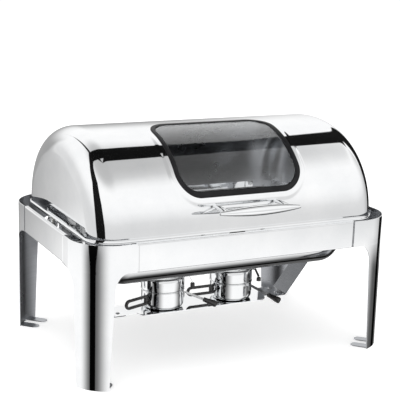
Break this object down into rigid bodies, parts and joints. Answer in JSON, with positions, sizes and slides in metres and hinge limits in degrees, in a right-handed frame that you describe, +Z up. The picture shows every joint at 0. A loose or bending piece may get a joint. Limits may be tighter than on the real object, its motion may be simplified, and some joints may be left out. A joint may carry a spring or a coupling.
{
  "type": "roll top chafer",
  "caption": "Rectangular buffet chafer with a roll-back arched lid and window, four bent sheet legs, water pan, food pan and fuel burners on a hanging shelf.",
  "frame": {"origin": "on the floor, under the middle of the whole object's box", "axes": "+X along the length to the right, +Y to the back, +Z up; the lid handle is on the -Y side"},
  "size_m": [0.66, 0.4805, 0.4449],
  "materials": {
    "polished_steel": "mirror polished stainless steel",
    "satin_steel": "satin stainless steel",
    "window_glass": "clear tempered glass",
    "black_rubber": "matt moulded rubber",
    "black_bakelite": "glossy heat-proof moulding",
    "white_nylon": "plain nylon"
  },
  "bodies": {
    "frame": {"leg_front_left": "polished_steel", "leg_front_right": "polished_steel", "leg_rear_left": "polished_steel", "leg_rear_right": "polished_steel", "apron_front": "polished_steel", "apron_rear": "polished_steel", "apron_left": "polished_steel", "apron_right": "polished_steel", "frame_screws": "satin_steel", "pan_carrier": "satin_steel", "front_ledge": "satin_steel", "side_bracket_left": "satin_steel", "side_bracket_right": "satin_steel", "hinge_bracket_left": "satin_steel", "hinge_bracket_right": "satin_steel", "lid_stops": "black_rubber", "front_pads": "black_rubber", "water_pan": "satin_steel", "food_pan": "satin_steel", "burner_shelf": "polished_steel", "shelf_strut_left": "polished_steel", "shelf_strut_right": "polished_steel", "shelf_screws": "satin_steel"},
    "lid": {"hinge_pin_left": "satin_steel", "hinge_pin_right": "satin_steel", "hinge_washer_left": "white_nylon", "hinge_washer_right": "white_nylon", "lid_shell": "polished_steel", "window_gasket": "black_rubber", "window_glass": "window_glass", "lid_handle": "polished_steel", "handle_post_left": "polished_steel", "handle_post_right": "polished_steel", "handle_screws": "satin_steel", "hinge_ear_left": "satin_steel", "hinge_ear_right": "satin_steel", "ear_rivets": "satin_steel", "lid_bumper": "black_rubber"},
    "burner_left": {"burner_cup_left": "polished_steel", "burner_cover_left": "polished_steel", "shutter_rivet_left": "satin_steel", "burner_strap_left": "satin_steel", "burner_grip_left": "black_bakelite", "burner_loop_left": "black_bakelite"},
    "shutter_left": {"shutter_left": "polished_steel", "shutter_knob_left": "black_bakelite"},
    "burner_right": {"burner_cup_right": "polished_steel", "burner_cover_right": "polished_steel", "shutter_rivet_right": "satin_steel", "burner_strap_right": "satin_steel", "burner_grip_right": "black_bakelite", "burner_loop_right": "black_bakelite"},
    "shutter_right": {"shutter_right": "polished_steel", "shutter_knob_right": "black_bakelite"}
  },
  "joints": [
    {"name": "lid_roll", "type": "hinge", "parent": "frame", "child": "lid", "pos_m": [0, 0.04375, 0.258], "axis": [-1, 0, 0], "range_deg": [0, 80]},
    {"name": "burner_left_slide", "type": "slide", "parent": "frame", "child": "burner_left", "axis": [0, -1, 0], "range_m": [0, 0.18]},
    {"name": "burner_right_slide", "type": "slide", "parent": "frame", "child": "burner_right", "axis": [0.7071, -0.7071, 0], "range_m": [0, 0.18]},
    {"name": "shutter_left_swivel", "type": "hinge", "parent": "burner_left", "child": "shutter_left", "pos_m": [-0.08929, 0.05076, 0.1346], "axis": [0, 0, 1], "range_deg": [0, 50]},
    {"name": "shutter_right_swivel", "type": "hinge", "parent": "burner_right", "child": "shutter_right", "pos_m": [0.078, 0.05275, 0.1346], "axis": [0, 0, 1], "range_deg": [0, 50]}
  ]
}
